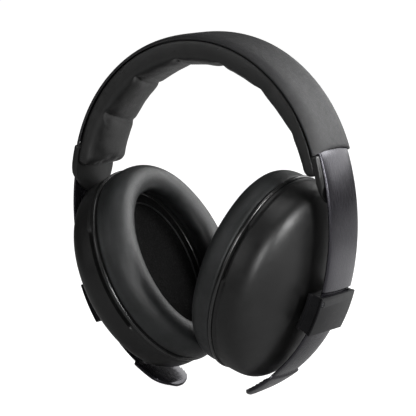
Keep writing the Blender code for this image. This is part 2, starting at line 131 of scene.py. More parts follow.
CUP_TILT = radians(20.9)
CUP_CENTRE = Vector((26.4, 0.0, 0.0)) * MM
CUP_FRAME = Matrix.Translation(CUP_CENTRE) @ Matrix.Rotation(CUP_TILT, 4, "Y")
LEFT_LOWER = radians(2.3)
LEFT_EXTRA_TILT = radians(2.4)
RIM = (36.9 * MM, 41.2 * MM)
DOME_HEIGHT = 24.2 * MM
RIM_WALL = 8.2 * MM
SHOULDER_RADIUS = 8.0 * MM
SHOULDER_SLOPE = radians(34.0)
SLOTS = [(-1, 3.0 * MM, 25.0 * MM), (1, -22.0 * MM, 20.0 * MM)]  # side, from, to
SLOT_DEPTH = 1.3 * MM

# The cushion's ring section: half width, half height and x, in mm, round the section.
CUSHION_SECTION = [
    (36.0, 40.2, -1.0), (36.7, 41.0, -4.0), (36.1, 40.7, -8.0), (33.7, 39.0, -11.2),
    (30.2, 36.3, -12.5), (26.6, 33.0, -12.3), (23.8, 30.2, -10.8), (22.8, 29.3, -8.2),
    (24.3, 30.8, -5.0), (26.6, 33.0, -1.0),
]

SIM_SCALE = 4.0  # the cloth solver works best on pieces about half a metre long
SIM_FRAMES = 16


# Camera, light and floor ------------------------------------------------------------------

LIGHT_TARGET = Vector((0.0, 0.0, 0.03))
LIGHTS = [  # name, place, size, power
    ("back", (0.30, 0.90, 0.42), (1.1, 0.6), 5.4),
    ("right_back", (0.47, 0.42, 0.36), (0.26, 0.26), 2.0),
    ("right", (0.64, -0.04, 0.22), (0.16, 0.26), 3.6),
    ("top", (0.10, -0.10, 0.90), (0.5, 0.5), 1.3),
    ("front", (0.83, -0.98, 0.22), (0.34, 0.34), 7.5),
    ("front_left", (-0.35, -0.60, 0.35), (0.4, 0.4), 0.8),
]
BRIGHT_SIDE = Vector((0.42, 0.82, 0.38)).normalized()  # of the room
FLOOR_DROP = 0.2 * MM
# Centre of the painted patch of light that the floor glows with.
PAINTED_LIGHT_CENTRE = (0.13, 0.15, 0.0)  # on the floor


def add_camera():
    """A long lens, almost level, that looks at the object from its front right."""
    azimuth, elevation, roll = radians(34.1), radians(7.31), radians(-1.37)
    target, distance = Vector((-1.88, 0.0, 24.16)) * MM, 1000.4 * MM
    back = Vector((sin(azimuth) * cos(elevation), -cos(azimuth) * cos(elevation), sin(elevation)))
    level = Vector((cos(azimuth), sin(azimuth), 0))
    upright = back.cross(level)
    right = level * cos(roll) + upright * sin(roll)
    up = upright * cos(roll) - level * sin(roll)
    data = bpy.data.cameras.new("camera")
    data.sensor_width = 36.0
    data.lens = 216.4
    camera = bpy.data.objects.new("camera", data)
    camera.matrix_world = Matrix((right, up, back)).transposed().to_4x4()
    camera.matrix_world.translation = target + distance * back
    bpy.context.scene.collection.objects.link(camera)
    bpy.context.scene.camera = camera


def add_light(name, place, size, power):
    """A rectangular light that faces the middle of the object."""
    data = bpy.data.lights.new(name, "AREA")
    data.shape = "RECTANGLE"
    data.size, data.size_y = size
    data.energy = power
    light = bpy.data.objects.new(name, data)
    aim = LIGHT_TARGET - Vector(place)
    light.matrix_world = Matrix.Translation(place) @ aim.to_track_quat("-Z", "Y").to_matrix().to_4x4()
    bpy.context.scene.collection.objects.link(light)


def map_range(tree, source, start, stop, low, high):
    """A node that takes start..stop of the source to low..high."""
    node = tree.nodes.new("ShaderNodeMapRange")
    node.inputs["From Min"].default_value = start
    node.inputs["From Max"].default_value = stop
    node.inputs["To Min"].default_value = low
    node.inputs["To Max"].default_value = high
    tree.links.new(source, node.inputs["Value"])
    return node


def add_world():
    """White behind the object for the camera, and a soft room whose back and right are bright."""
    world = bpy.data.worlds.new("studio")
    world.use_nodes = True
    bpy.context.scene.world = world
    tree = world.node_tree
    nodes, links = tree.nodes, tree.links
    nodes.clear()
    place = nodes.new("ShaderNodeTexCoord")
    towards = nodes.new("ShaderNodeVectorMath")
    towards.operation = "DOT_PRODUCT"
    towards.inputs[1].default_value = BRIGHT_SIDE
    links.new(place.outputs["Generated"], towards.inputs[0])
    room = map_range(tree, towards.outputs["Value"], start=-0.15, stop=0.95, low=0.04, high=0.16)
    soft = nodes.new("ShaderNodeBackground")
    links.new(room.outputs["Result"], soft.inputs["Strength"])
    white = nodes.new("ShaderNodeBackground")
    white.inputs["Color"].default_value = (1, 1, 1, 1)
    path = nodes.new("ShaderNodeLightPath")
    mix = nodes.new("ShaderNodeMixShader")
    links.new(path.outputs["Is Camera Ray"], mix.inputs["Fac"])
    links.new(soft.outputs[0], mix.inputs[1])
    links.new(white.outputs[0], mix.inputs[2])
    out = nodes.new("ShaderNodeOutputWorld")
    links.new(mix.outputs[0], out.inputs["Surface"])


def add_floor(height):
    """A pale floor that glows in a painted patch of light behind the object, and that the camera sees as
    an even white.
    """
    bpy.ops.mesh.primitive_plane_add(size=30, location=(0, 0, height))
    floor_plane = bpy.context.object
    floor_plane.name = "floor"
    material = bpy.data.materials.new("pale_floor")
    material.use_nodes = True
    tree = material.node_tree
    nodes, links = tree.nodes, tree.links
    shader = nodes["Principled BSDF"]
    shader.inputs["Base Color"].default_value = (0.35, 0.35, 0.35, 1)
    shader.inputs["Roughness"].default_value = 0.9
    shader.inputs["Emission Color"].default_value = (1, 1, 1, 1)
    place = nodes.new("ShaderNodeTexCoord")
    away = nodes.new("ShaderNodeVectorMath")
    away.operation = "DISTANCE"
    away.inputs[1].default_value = PAINTED_LIGHT_CENTRE
    links.new(place.outputs["Object"], away.inputs[0])
    # Painted light: for rays other than the camera's, the floor glows brightest round this centre, a
    # patch of light that no lamp casts.
    painted_light_patch = map_range(tree, away.outputs["Value"], start=0.03, stop=0.16, low=0.8, high=0.05)
    painted_light_patch.interpolation_type = "SMOOTHSTEP"
    path = nodes.new("ShaderNodeLightPath")
    seen = nodes.new("ShaderNodeMath")
    seen.operation = "MAXIMUM"
    links.new(path.outputs["Is Camera Ray"], seen.inputs[0])
    links.new(painted_light_patch.outputs["Result"], seen.inputs[1])
    links.new(seen.outputs["Value"], shader.inputs["Emission Strength"])
    floor_plane.data.materials.append(material)


# Materials --------------------------------------------------------------------------------


class Nodes:
    """A material under construction, in object space with coordinates in millimetres."""

    def __init__(self, name):
        self.material = bpy.data.materials.new(name)
        self.material.use_nodes = True
        self.tree = self.material.node_tree
        self.shader = self.tree.nodes["Principled BSDF"]
        self.place = self.new("ShaderNodeMapping", self.new("ShaderNodeTexCoord").outputs["Object"])
        self.place.inputs["Scale"].default_value = (1000, 1000, 1000)

    def new(self, kind, source=None, **values):
        """A node with its first input linked to the source, and other inputs set by name."""
        node = self.tree.nodes.new(kind)
        if source is not None:
            self.tree.links.new(source, node.inputs[0])
        for key, value in values.items():
            node.inputs[key.replace("_", " ")].default_value = value
        return node

    def noise(self, scale, detail=3.0, roughness=0.6):
        """Cloudy noise with about `scale` clouds to the millimetre."""
        node = self.new("ShaderNodeTexNoise", self.place.outputs[0], Scale=scale, Detail=detail)
        node.inputs["Roughness"].default_value = roughness
        return node.outputs["Fac"]

    def cells(self, scale, feature="DISTANCE_TO_EDGE"):
        """Pebbles with about `scale` of them to the millimetre."""
        node = self.new("ShaderNodeTexVoronoi", self.place.outputs[0], Scale=scale)
        node.feature = feature
        return node.outputs["Distance"]

    def spread(self, source, low, high, start=0.3, stop=0.7):
        return map_range(self.tree, source, start, stop, low, high).outputs["Result"]

    def colours(self, source, low, high, start=0.3, stop=0.7):
        """Blends the base colour from low to high while the source goes from start to stop."""
        node = self.new("ShaderNodeValToRGB", source)
        node.color_ramp.elements[0].position = start
        node.color_ramp.elements[0].color = (*low, 1)
        node.color_ramp.elements[1].position = stop
        node.color_ramp.elements[1].color = (*high, 1)
        self.tree.links.new(node.outputs["Color"], self.shader.inputs["Base Color"])

    def roughen(self, source, low, high):
        self.tree.links.new(self.spread(source, low, high), self.shader.inputs["Roughness"])

    def bump(self, source, depth, strength, below=None):
        """Raises the surface by the source, on top of an earlier bump. depth is in metres."""
        node = self.tree.nodes.new("ShaderNodeBump")
        node.inputs["Distance"].default_value = depth
        node.inputs["Strength"].default_value = strength
        self.tree.links.new(source, node.inputs["Height"])
        if below is not None:
            self.tree.links.new(below, node.inputs["Normal"])
        self.tree.links.new(node.outputs["Normal"], self.shader.inputs["Normal"])
        return node.outputs["Normal"]

    def set(self, **values):
        """Sets constant inputs of the shader by name, and gives the finished material."""
        for key, value in values.items():
            self.shader.inputs[key.replace("_", " ")].default_value = value
        return self.material


def leatherette(name, dark, light, rough, grain, wrinkle, fold_depth):
    """Soft coated fabric: pebbled grain over long faint wrinkles."""
    n = Nodes(name)
    cloudy = n.noise(0.12, 4.0)
    n.colours(cloudy, dark, light, 0.35, 0.68)
    n.roughen(n.noise(0.5, 5.0), rough - 0.05, rough + 0.07)
    folds = n.bump(n.noise(wrinkle, 3.0, 0.5), fold_depth, 0.5)
    pebbles = n.spread(n.cells(grain), 0.0, 1.0, 0.0, 0.25)
    grainy = n.bump(pebbles, 0.00005, 0.55, folds)
    n.bump(n.noise(grain * 3.5, 4.0), 0.00003, 0.35, grainy)
    return n.set(Specular_IOR_Level=0.5)


def moulded(name, dark, light, rough, texture=0.00002, scale=2.5, coat=0.0, level=0.5):
    """Moulded plastic: a fine spark-eroded texture, slight flow clouds and rubbed patches."""
    n = Nodes(name)
    n.colours(n.noise(0.08, 5.0), dark, light, 0.35, 0.7)
    n.roughen(n.noise(0.35, 6.0), rough - 0.04, rough + 0.06)
    waves = n.bump(n.noise(0.05, 2.0), 0.0003, 0.25)
    n.bump(n.noise(scale, 5.0, 0.7), texture, 0.6, waves)
    return n.set(Coat_Weight=coat, Coat_Roughness=0.12, Specular_IOR_Level=level)


def brushed_arm(name):
    """Satin plastic of the arms, with faint streaks from moulding that run along the arm."""
    n = Nodes(name)
    streaks = n.new("ShaderNodeMapping", n.place.outputs[0])
    streaks.inputs["Scale"].default_value = (0.12, 2.2, 0.12)
    lines = n.new("ShaderNodeTexNoise", streaks.outputs[0], Scale=1.6, Detail=4.0)
    n.colours(n.noise(0.06, 3.0), (0.0045, 0.004, 0.005), (0.008, 0.0075, 0.0095), 0.35, 0.7)
    n.roughen(lines.outputs["Fac"], 0.20, 0.32)
    fine = n.bump(lines.outputs["Fac"], 0.00004, 0.5)
    n.bump(n.noise(4.0, 4.0), 0.00001, 0.5, fine)
    return n.set(Coat_Weight=0.1, Coat_Roughness=0.16, Specular_Tint=(0.90, 0.88, 1.0, 1))


def speckled_cloth(name):
    """Thin knitted cloth over foam: small open cells with lighter flecks."""
    n = Nodes(name)
    weave = n.cells(2.3, "F1")
    n.colours(n.noise(1.7, 6.0, 0.75), (0.0015, 0.0015, 0.0015), (0.03, 0.03, 0.031), 0.52, 0.72)
    n.roughen(n.noise(1.0), 0.85, 0.98)
    bumps = n.bump(weave, 0.0003, 0.8)
    n.bump(n.noise(0.6, 3.0), 0.0006, 0.5, bumps)
    return n.set(Specular_IOR_Level=0.15)


def plain_metal(name, colour, rough):
    """Dull metal, a little uneven in colour and roughness."""
    n = Nodes(name)
    n.colours(n.noise(0.8, 4.0), tuple(c * 0.85 for c in colour), colour)
    n.roughen(n.noise(3.0, 5.0), rough - 0.05, rough + 0.1)
    n.bump(n.noise(6.0, 3.0), 0.00001, 0.5)
    return n.set(Metallic=1.0)


def make_materials():
    """Every material by name: who makes it, and with what."""
    recipes = {
        "cover_leather": (leatherette, dict(
            dark=(0.007, 0.007, 0.008), light=(0.012, 0.012, 0.013), rough=0.52,
            grain=3.2, wrinkle=0.05, fold_depth=0.0001)),
        "pad_leather": (leatherette, dict(
            dark=(0.011, 0.011, 0.011), light=(0.016, 0.016, 0.016), rough=0.32,
            grain=1.9, wrinkle=0.16, fold_depth=0.0003)),
        "cushion_leather": (leatherette, dict(
            dark=(0.010, 0.011, 0.011), light=(0.018, 0.019, 0.020), rough=0.42,
            grain=2.4, wrinkle=0.10, fold_depth=0.0003)),
        "shell_plastic": (moulded, dict(
            dark=(0.004, 0.004, 0.004), light=(0.008, 0.008, 0.008), rough=0.38,
            texture=0.00006, scale=2.6)),
        "satin_plastic": (brushed_arm, {}),
        "flange_plastic": (moulded, dict(
            dark=(0.008, 0.008, 0.008), light=(0.013, 0.013, 0.013), rough=0.22,
            texture=0.00001, scale=3.0, coat=0.4)),
        "slider_plastic": (moulded, dict(
            dark=(0.003, 0.003, 0.0035), light=(0.006, 0.006, 0.007), rough=0.30,
            scale=1.8, level=0.18)),
        "liner_plastic": (moulded, dict(
            dark=(0.005, 0.005, 0.005), light=(0.010, 0.010, 0.010), rough=0.34)),
        "dark_foam": (speckled_cloth, {}),
        "dark_cloth": (speckled_cloth, {}),
        "steel": (plain_metal, dict(colour=(0.30, 0.30, 0.31), rough=0.35)),
        "dark_screw": (plain_metal, dict(colour=(0.05, 0.05, 0.055), rough=0.38)),
        "stud_plastic": (moulded, dict(
            dark=(0.07, 0.07, 0.07), light=(0.11, 0.11, 0.11), rough=0.35)),
    }
    return {name: make(name, **values) for name, (make, values) in recipes.items()}


# Mesh helpers -----------------------------------------------------------------------------


class Path:
    """A run of arcs in the XZ plane, starting level at the crown and turning down towards +X."""

    def __init__(self, top, arcs):
        self.pieces = []
        place, heading, start = Vector((0, 0, top)), 0.0, 0.0
        for radius, turn in arcs:
            turn = radians(turn)
            centre = place - radius * Vector((sin(heading), 0, cos(heading)))
            self.pieces.append((start, radius, centre, heading))
            heading += turn
            place = centre + radius * Vector((sin(heading), 0, cos(heading)))
            start += radius * turn

    def piece(self, s):
        return [p for p in self.pieces if p[0] <= s][-1]

    def heading(self, s):
        """How far the path has turned, in radians, after a length s."""
        start, radius, _, first = self.piece(s)
        return first + (s - start) / radius

    def at(self, s, out=0.0, across=0.0):
        """The point at a length s from the crown, negative to the left, moved outward and across."""
        _, radius, centre, _ = self.piece(abs(s))
        h = self.heading(abs(s))
        p = centre + (radius + out) * Vector((sin(h), 0, cos(h)))
        return Vector((-p.x if s < 0 else p.x, across, p.z))


BAND = Path(CROWN_HEIGHT, BAND_ARCS)
LINER = Path(CROWN_HEIGHT - LINER_DEPTH, LINER_ARCS)
ARC_CENTRE = BAND.pieces[LOWER_ARC][2]


def spaced(start, end, count):
    """Evenly spaced values from start to end, with both of them."""
    return [start + (end - start) * k / (count - 1) for k in range(count)]


def clamped(value):
    return min(max(value, 0.0), 1.0)


def eased(value):
    """Rises from 0 to 1 along half a sine wave while the value does."""
    return 0.5 + 0.5 * sin(pi * (clamped(value) - 0.5))


def mirrored(points):
    """Pairs for the other side: the first value changes sign, and the order is turned round."""
    return [(-first, second) for first, second in reversed(points)]


def smooth_line(points, per_span, closed=True):
    """Points on a Catmull-Rom curve through tuples of any length."""
    count, line = len(points), []
    spans = count if closed else count - 1
    for i in range(spans):
        if closed:
            near = [points[(i + j) % count] for j in (-1, 0, 1, 2)]
        else:
            near = [points[min(max(i + j, 0), count - 1)] for j in (-1, 0, 1, 2)]
        for k in range(per_span):
            t = k / per_span
            line.append(tuple(
                0.5 * (2 * b + (c - a) * t + (2 * a - 5 * b + 4 * c - d) * t**2
                       + (3 * b - a - 3 * c + d) * t**3)
                for a, b, c, d in zip(*near)
            ))
    if not closed:
        line.append(tuple(points[-1]))
    return line


def loft(name, rings, material, ring_loop=False, sharp=40):
    """A closed skin through rings of equal point counts.

    Both ends are capped, or with ring_loop the last ring joins the first.
    """
    bm = bmesh.new()
    rows = [[bm.verts.new(p) for p in ring] for ring in rings]
    pairs = list(zip(rows, rows[1:]))
    if ring_loop:
        pairs.append((rows[-1], rows[0]))
    for low, high in pairs:
        count = len(low)
        for i in range(count):
            j = (i + 1) % count
            bm.faces.new((low[i], low[j], high[j], high[i]))
    if not ring_loop:
        bm.faces.new(list(reversed(rows[0])))
        bm.faces.new(rows[-1])
    bmesh.ops.recalc_face_normals(bm, faces=bm.faces)
    if bm.calc_volume(signed=True) < 0:
        bmesh.ops.reverse_faces(bm, faces=bm.faces)
    mesh = bpy.data.meshes.new(name)
    bm.to_mesh(mesh)
    bm.free()
    mesh.shade_smooth()
    mesh.set_sharp_from_angle(angle=radians(sharp))
    mesh.materials.append(MATERIALS[material])
    obj = bpy.data.objects.new(name, mesh)
    bpy.context.scene.collection.objects.link(obj)
    return obj


def add_bevel(obj, width, segments):
    modifier = obj.modifiers.new("edges", "BEVEL")
    modifier.width = width
    modifier.segments = segments
    modifier.limit_method = "ANGLE"
    modifier.angle_limit = radians(35)
    modifier.harden_normals = True


def add_subdivision(obj):
    modifier = obj.modifiers.new("smooth", "SUBSURF")
    modifier.levels = modifier.render_levels = 1


def round_end(half_width, left, radius):
    """The half width at a distance `left` before an end rounded with `radius` corners."""
    if left >= radius:
        return half_width
    fall = radius - max(left, 0.0)
    return half_width - radius + sqrt(max(radius**2 - fall**2, 0.0))


def rounded_box(half, low, high, radius):
    """A closed (across, out) outline of a box with rounded corners."""
    outline, steps = [], 4
    for cx, cy, start in (
        (half - radius, high - radius, 0), (radius - half, high - radius, 90),
        (radius - half, low + radius, 180), (half - radius, low + radius, 270),
    ):
        for k in range(steps + 1):
            a = radians(start + 90 * k / steps)
            outline.append((cx + radius * cos(a), cy + radius * sin(a)))
    return outline


def inflate(obj, pins, pressure, cap):
    """Swells the mesh like stuffed fabric. pins is a weight per vertex, and cap the furthest move."""
    mesh = obj.data
    rest = [v.co.copy() for v in mesh.vertices]
    mesh.transform(Matrix.Scale(SIM_SCALE, 4))
    group = obj.vertex_groups.new(name="pins")
    for i, weight in enumerate(pins):
        group.add([i], weight, "REPLACE")
    cloth = obj.modifiers.new("cloth", "CLOTH")
    settings = cloth.settings
    settings.quality = 6
    settings.mass = 0.25
    settings.tension_stiffness = settings.compression_stiffness = 12.0
    settings.shear_stiffness = 6.0
    settings.bending_stiffness = 0.4
    settings.use_pressure = True
    settings.uniform_pressure_force = pressure
    settings.effector_weights.gravity = 0.0
    settings.vertex_group_mass = "pins"
    cloth.collision_settings.use_collision = False
    cloth.point_cache.frame_start = 1
    cloth.point_cache.frame_end = SIM_FRAMES
    scene = bpy.context.scene
    for frame in range(1, SIM_FRAMES + 1):
        scene.frame_set(frame)
    swollen = obj.evaluated_get(bpy.context.evaluated_depsgraph_get()).to_mesh()
    moved = [v.co / SIM_SCALE for v in swollen.vertices]
    obj.modifiers.clear()
    obj.vertex_groups.clear()
    scene.frame_set(1)
    for vertex, start, end in zip(mesh.vertices, rest, moved):
        shift = end - start
        if shift.length > cap:
            shift *= cap / shift.length
        vertex.co = start + shift


# Headband ---------------------------------------------------------------------------------


def on_headband(piece, node):
    """Puts the piece on the headband's body, in its CAD node's stead."""
    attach(piece, "headband")
    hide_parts(node)


def make_cover():
    """The crowned outer cover, with a rolled lip along its edges and scooped ends."""
    roll_start, roll_depth = 0.985, 0.22 * MM

    def section(share_along):
        """The crowned outside, a lip, the inside and the other lip."""
        edge = -0.2 * MM - 1.6 * MM * share_along**2
        low = edge - 1.0 * MM
        half = COVER_HALF_WIDTH
        outer = [
            (share * (half - 0.25 * MM), COVER_CROWN - (COVER_CROWN - edge) * abs(share) ** 5)
            for share in spaced(-1.0, 1.0, 33)
        ]
        inner = [(across * 0.955, out - COVER_WALL) for across, out in reversed(outer)]
        lip = [(half, edge - 0.3 * MM), (half + 0.05 * MM, low + 0.2 * MM),
               (half - 0.2 * MM, low), (half - 0.6 * MM, low + 0.1 * MM)]
        return outer + lip + inner + mirrored(lip)

    rings = []
    for share in [-1.0, -0.998, -0.992] + spaced(-roll_start, roll_start, 75) + [0.992, 0.998, 1.0]:
        pinch = clamped((abs(share) - roll_start) / (1 - roll_start)) ** 2 * roll_depth
        ring = []
        for across, out in section(share):
            scoop = (0.5 + 1.4 * (across / COVER_HALF_WIDTH) ** 2) * MM
            outside = out > -COVER_WALL * 0.5
            ring.append(BAND.at(share * (COVER_END + scoop), out - pinch if outside else out, across))
        rings.append(ring)
    on_headband(loft("cover", rings, "cover_leather", sharp=60), "headband_cover")


def liner_side(half, inside, rim):
    """One side of the strip, from underneath to its middle: a rounded rim with a soft step."""
    top = LINER_THICKNESS / 2
    return [(half - 0.5 * MM, -top), (half - 0.1 * MM, 0.15 * MM - top), (half, 0.5 * MM - top),
            (half, rim - 0.4 * MM), (half - 0.12 * MM, rim - 0.1 * MM), (half - 0.4 * MM, rim),
            (inside + 0.1 * MM, rim - 0.05 * MM), (inside, rim - 0.3 * MM), (inside - 0.1 * MM, top)]


def liner_section(s):
    """The rear side stays narrow and low. The tongue's front side is wide, with a raised rim."""
    beside_arm = ARM_HALF_WIDTH + 0.45 * MM
    low_rim, rim_rise, least_rim = 0.65 * MM, 1.35 * MM, 0.3 * MM
    left = TONGUE_END - abs(s)
    tongue = clamped((abs(s) - TONGUE_START) / (1.2 * MM))
    front = LINER_HALF_WIDTH + (TONGUE_HALF_WIDTH - LINER_HALF_WIDTH) * tongue
    front = round_end(front, left, TONGUE_RADIUS)
    rise = clamped((front - beside_arm - 0.3 * MM) / (1.6 * MM)) * tongue
    inside = front - LINER_RIM_WIDTH
    if tongue:
        inside = min(max(inside, beside_arm), front - least_rim)
    rear = round_end(LINER_HALF_WIDTH, left, TONGUE_REAR_RADIUS)
    rear_side = liner_side(rear, max(rear - LINER_RIM_WIDTH, least_rim), low_rim)
    return rear_side + mirrored(liner_side(front, inside, low_rim + rim_rise * rise))


def make_liner():
    """The strip that carries the pad, with a shallow rimmed tongue under each arm."""
    round_start = TONGUE_END - TONGUE_RADIUS
    side = spaced(TONGUE_START, TONGUE_START + 1.3 * MM, 4)
    side += spaced(TONGUE_START + 2 * MM, round_start, 6)[:-1]
    side += [round_start + TONGUE_RADIUS * sin(radians(a)) for a in range(0, 91, 6)]
    middle = TONGUE_START - 0.8 * MM
    stations = [-s for s in reversed(side)] + spaced(-middle, middle, 61) + side
    rings = [[LINER.at(s, out, across) for across, out in liner_section(s)] for s in stations]
    on_headband(loft("liner", rings, "liner_plastic", sharp=50), "headband_liner")


def pad_outline(s, seam_gap):
    """(across, out, pinned) points round the pad at a station. seam_gap(s, across) is in metres.

    At the crown the pad's edges reach up beside the liner, and towards the ends they sink below it.
    """
    shrink = round_end(1.0, (PAD_END - abs(s)) / (4.0 * MM), 1.0)
    half = PAD_HALF_WIDTH - 2.4 * MM * (1 - shrink)
    depth = PAD_DEPTH - PAD_DEPTH_LOSS * (s / PAD_END) ** 2
    lip = max(1.45 - 2.3 * (s / (73.3 * MM)) ** 2, -0.85) * MM
    side = PAD_TOP - 0.34 * depth

    def pinch(across):
        return exp(-seam_gap(s, across) / SEAM_WIDTH)

    points = []
    for a in spaced(0.0, pi, 29):
        share = abs(cos(a)) ** 0.72 * (1 if cos(a) > 0 else -1)
        sewn = clamped((share + 0.99) / 0.10)
        fold = pinch(share * half) * sewn
        dimple = 0.24 * exp(-(((share + 0.80) / 0.13) ** 2)) * pinch(share * half) ** 0.5
        low = 0.66 * depth * (1 - 0.05 * share**2) * (0.25 + 0.75 * shrink)
        low *= (1 - 0.30 * fold - dimple) * sin(a) ** 0.74
        points.append((share * (half - 0.7 * MM * fold), side - low, fold > 0.70))
    middle = side + 0.5 * (lip - side)
    channel = min(12.5 * MM, half - 0.6 * MM)
    edge = [(channel, PAD_TOP), (channel, lip - 0.2 * MM), (half - 0.4 * MM, lip),
            (half - 0.1 * MM, lip - 0.15 * MM)]
    points.append((-half, middle, False))
    points += [(across, out, True) for across, out in mirrored(edge) + [(0.0, PAD_TOP)] + edge]
    points.append((half - 0.35 * MM * pinch(half), middle, False))
    return points


def make_pad():
    """A stuffed strip sewn across into cells by slanting seams that start as dimples in front."""
    cell = 2 * PAD_END / PAD_CELLS

    def seam_gap(s, across):
        """How far the point is from the nearest seam, along the strip."""
        ease = clamped((PAD_END - abs(s)) / (8 * MM))
        place = (s + SEAM_SLANT * across * ease + PAD_END) / cell
        nearest = min(max(round(place), 1), PAD_CELLS - 1)
        return abs(place - nearest) * cell

    rings, pins = [], []
    for share in spaced(-1.0, 1.0, 201):
        s = PAD_END * (1 - 1e-3) * share
        outline = pad_outline(s, seam_gap)
        rings.append([LINER.at(s, out, across) for across, out, _ in outline])
        pins += [1.0 if pinned else 0.0 for _, _, pinned in outline]
    pad = loft("pad", rings, "pad_leather", sharp=180)
    inflate(pad, pins, pressure=4.0, cap=0.9 * MM)
    crumple(pad, depth=0.09 * MM, scale=210)
    add_subdivision(pad)
    on_headband(pad, "headband_pad")


def crumple(obj, depth, scale):
    """Moves each point along its normal by a soft, fixed noise."""
    mesh = obj.data
    moves = [depth * noise.fractal(v.co * scale, 1.0, 2.0, 3) for v in mesh.vertices]
    normals = [v.normal.copy() for v in mesh.vertices]
    for vertex, move, normal in zip(mesh.vertices, moves, normals):
        vertex.co += normal * move


# Side pieces ------------------------------------------------------------------------------


def in_cup(ring):
    """Points of the cup's own frame, where x runs outward through the dome, in their place."""
    return [CUP_FRAME @ p for p in ring]


def turn_about(point, angle):
    """A turn in the XZ plane about a point."""
    return Matrix.Translation(point) @ Matrix.Rotation(angle, 4, "Y") @ Matrix.Translation(-point)


def left_place(body):
    """Where the right side's piece goes to stand on the left."""
    place = Matrix.Rotation(pi, 4, "Z")
    if body != "arm":
        place = place @ turn_about(ARC_CENTRE, LEFT_LOWER)
    if body in ("stud", "cup"):
        place = place @ turn_about(BAND.at(SLIDER_CENTRE, BALL_DEPTH), LEFT_EXTRA_TILT)
    return place


def on_both_sides(piece, body, node):
    """Puts the piece on the right side's body and a copy on the left side's."""
    copy = piece.copy()
    copy.name = "left_" + piece.name
    bpy.context.scene.collection.objects.link(copy)
    copy.matrix_world = left_place(body)
    piece.name = "right_" + piece.name
    for side, obj in (("right", piece), ("left", copy)):
        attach(obj, f"{side}_{body}")
        if node:
            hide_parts(f"{side}_{node}")


def arm_section(half, top, thickness, crown):
    """Crowned outside, flat inside, with a bevel along each edge. crown is how far the edges drop."""
    edge = top - crown
    low = top - thickness
    right = [(half - 0.45 * MM, low), (half - 0.12 * MM, low + 0.1 * MM), (half, low + 0.35 * MM),
             (half, edge - 0.1 * MM), (half - 0.1 * MM, edge + 0.1 * MM),
             (half - 0.55 * MM, edge + 0.38 * MM), (half - 1.1 * MM, edge + 0.52 * MM),
             (0.72 * half, top - 0.30 * crown), (0.5 * half, top - 0.12 * crown),
             (0.25 * half, top - 0.03 * crown)]
    underside = [(-0.5 * half, low), (0.0, low), (0.5 * half, low)]
    return right + [(0.0, top)] + mirrored(right) + underside


def make_arm():
    """The springy arm: a shoulder, a narrower rail for the slider, and a rounded toothed tip."""

    def section(s):
        shoulder = eased((s - SHOULDER - 0.5 * MM) / (1.0 * MM))
        rail = shoulder - eased((s - STOP_SHOULDER) / (1.4 * MM))
        half = ARM_HALF_WIDTH + (RAIL_HALF_WIDTH - ARM_HALF_WIDTH) * rail
        half = round_end(half, ARM_END - s, 9.0 * MM)
        thickness = ARM_THICKNESS - RAIL_THICKNESS_LOSS * rail
        if STOP_SHOULDER + 3 * MM < s < ARM_END - 1.5 * MM:
            tooth = ((s - STOP_SHOULDER) / TOOTH_PITCH) % 1.0
            thickness += TOOTH_HEIGHT * (1 - tooth) * (1 if tooth < 0.9 else 0)
        thickness *= 0.55 + 0.45 * min((ARM_END - s) / (1.2 * MM), 1.0)
        under_cover = COVER_GAP * clamped((CLEAR_OF_COVER - s) / (2.5 * MM))
        top = -0.7 * MM * rail - under_cover
        return arm_section(half, top, thickness - under_cover, 1.1 * MM * min(half / (6 * MM), 1.0))

    stations = spaced(ARM_START, SHOULDER - 0.5 * MM, 60)
    stations += spaced(SHOULDER - 0.2 * MM, SHOULDER + 1.8 * MM, 8)
    stations += spaced(SHOULDER + 2.5 * MM, STOP_SHOULDER - 1.5 * MM, 46)
    stations += spaced(STOP_SHOULDER - 1 * MM, ARM_END - 0.6 * MM, 90)
    stations += [ARM_END - 0.35 * MM, ARM_END - 0.15 * MM, ARM_END - 0.04 * MM]
    rings = [[BAND.at(s, out, across) for across, out in section(s)] for s in stations]
    on_both_sides(loft("arm", rings, "satin_plastic", sharp=50), "arm", "arm")


def slider_frame(out):
    """The slider's centre raised by out, with x outward, y to the back and z up along the arm."""
    h = BAND.heading(SLIDER_CENTRE)
    x, y = Vector((sin(h), 0, cos(h))), Vector((0, 1, 0))
    frame = Matrix((x, y, x.cross(y))).transposed().to_4x4()
    frame.translation = BAND.at(SLIDER_CENTRE, out)
    return frame


def swept_along_slider(name, outline, half_length):
    """Sweeps an outline along the arm under the slider, drawing in a little at both ends."""
    rings = []
    start = [(-1.0, 1 / 48), (-0.985, 1 / 150), (-0.955, 0.0)]
    for share, draw in start + [(share, 0.0) for share in spaced(-0.9, 0.9, 13)] + mirrored(start):
        s = SLIDER_CENTRE + share * half_length
        rings.append([BAND.at(s, out, across * (1 - draw)) for across, out in outline])
    return loft(name, rings, "slider_plastic", sharp=50)


def make_slider():
    """The channel that runs on the rail, its outer plate and the screw."""
    half, wall, flare = SLIDER_HALF_WIDTH, RAIL_HALF_WIDTH + 0.35 * MM, 0.8 * MM
    channel = [
        (half + flare, -5.9 * MM), (half + flare, -4.8 * MM), (half + 0.1 * MM, -4.5 * MM),
        (half, -4.1 * MM), (half, -0.6 * MM), (wall, -0.6 * MM), (wall, -2.9 * MM),
    ]
    base = swept_along_slider("slider_base", channel + mirrored(channel), SLIDER_LENGTH / 2)
    add_bevel(base, width=0.22 * MM, segments=3)
    on_both_sides(base, "slider", "slider_base")
    plate = rounded_box(half + 0.15 * MM, low=-0.55 * MM, high=0.5 * MM, radius=0.42 * MM)
    cover = swept_along_slider("slider_cover", plate, SLIDER_LENGTH / 2 + 0.1 * MM)
    cut_round(cover, slider_frame(0.5 * MM) @ SCREW_OFFSET, SCREW_HOLE_RADIUS)
    add_bevel(cover, width=0.12 * MM, segments=2)
    on_both_sides(cover, "slider", "slider_cover")
    make_screw()


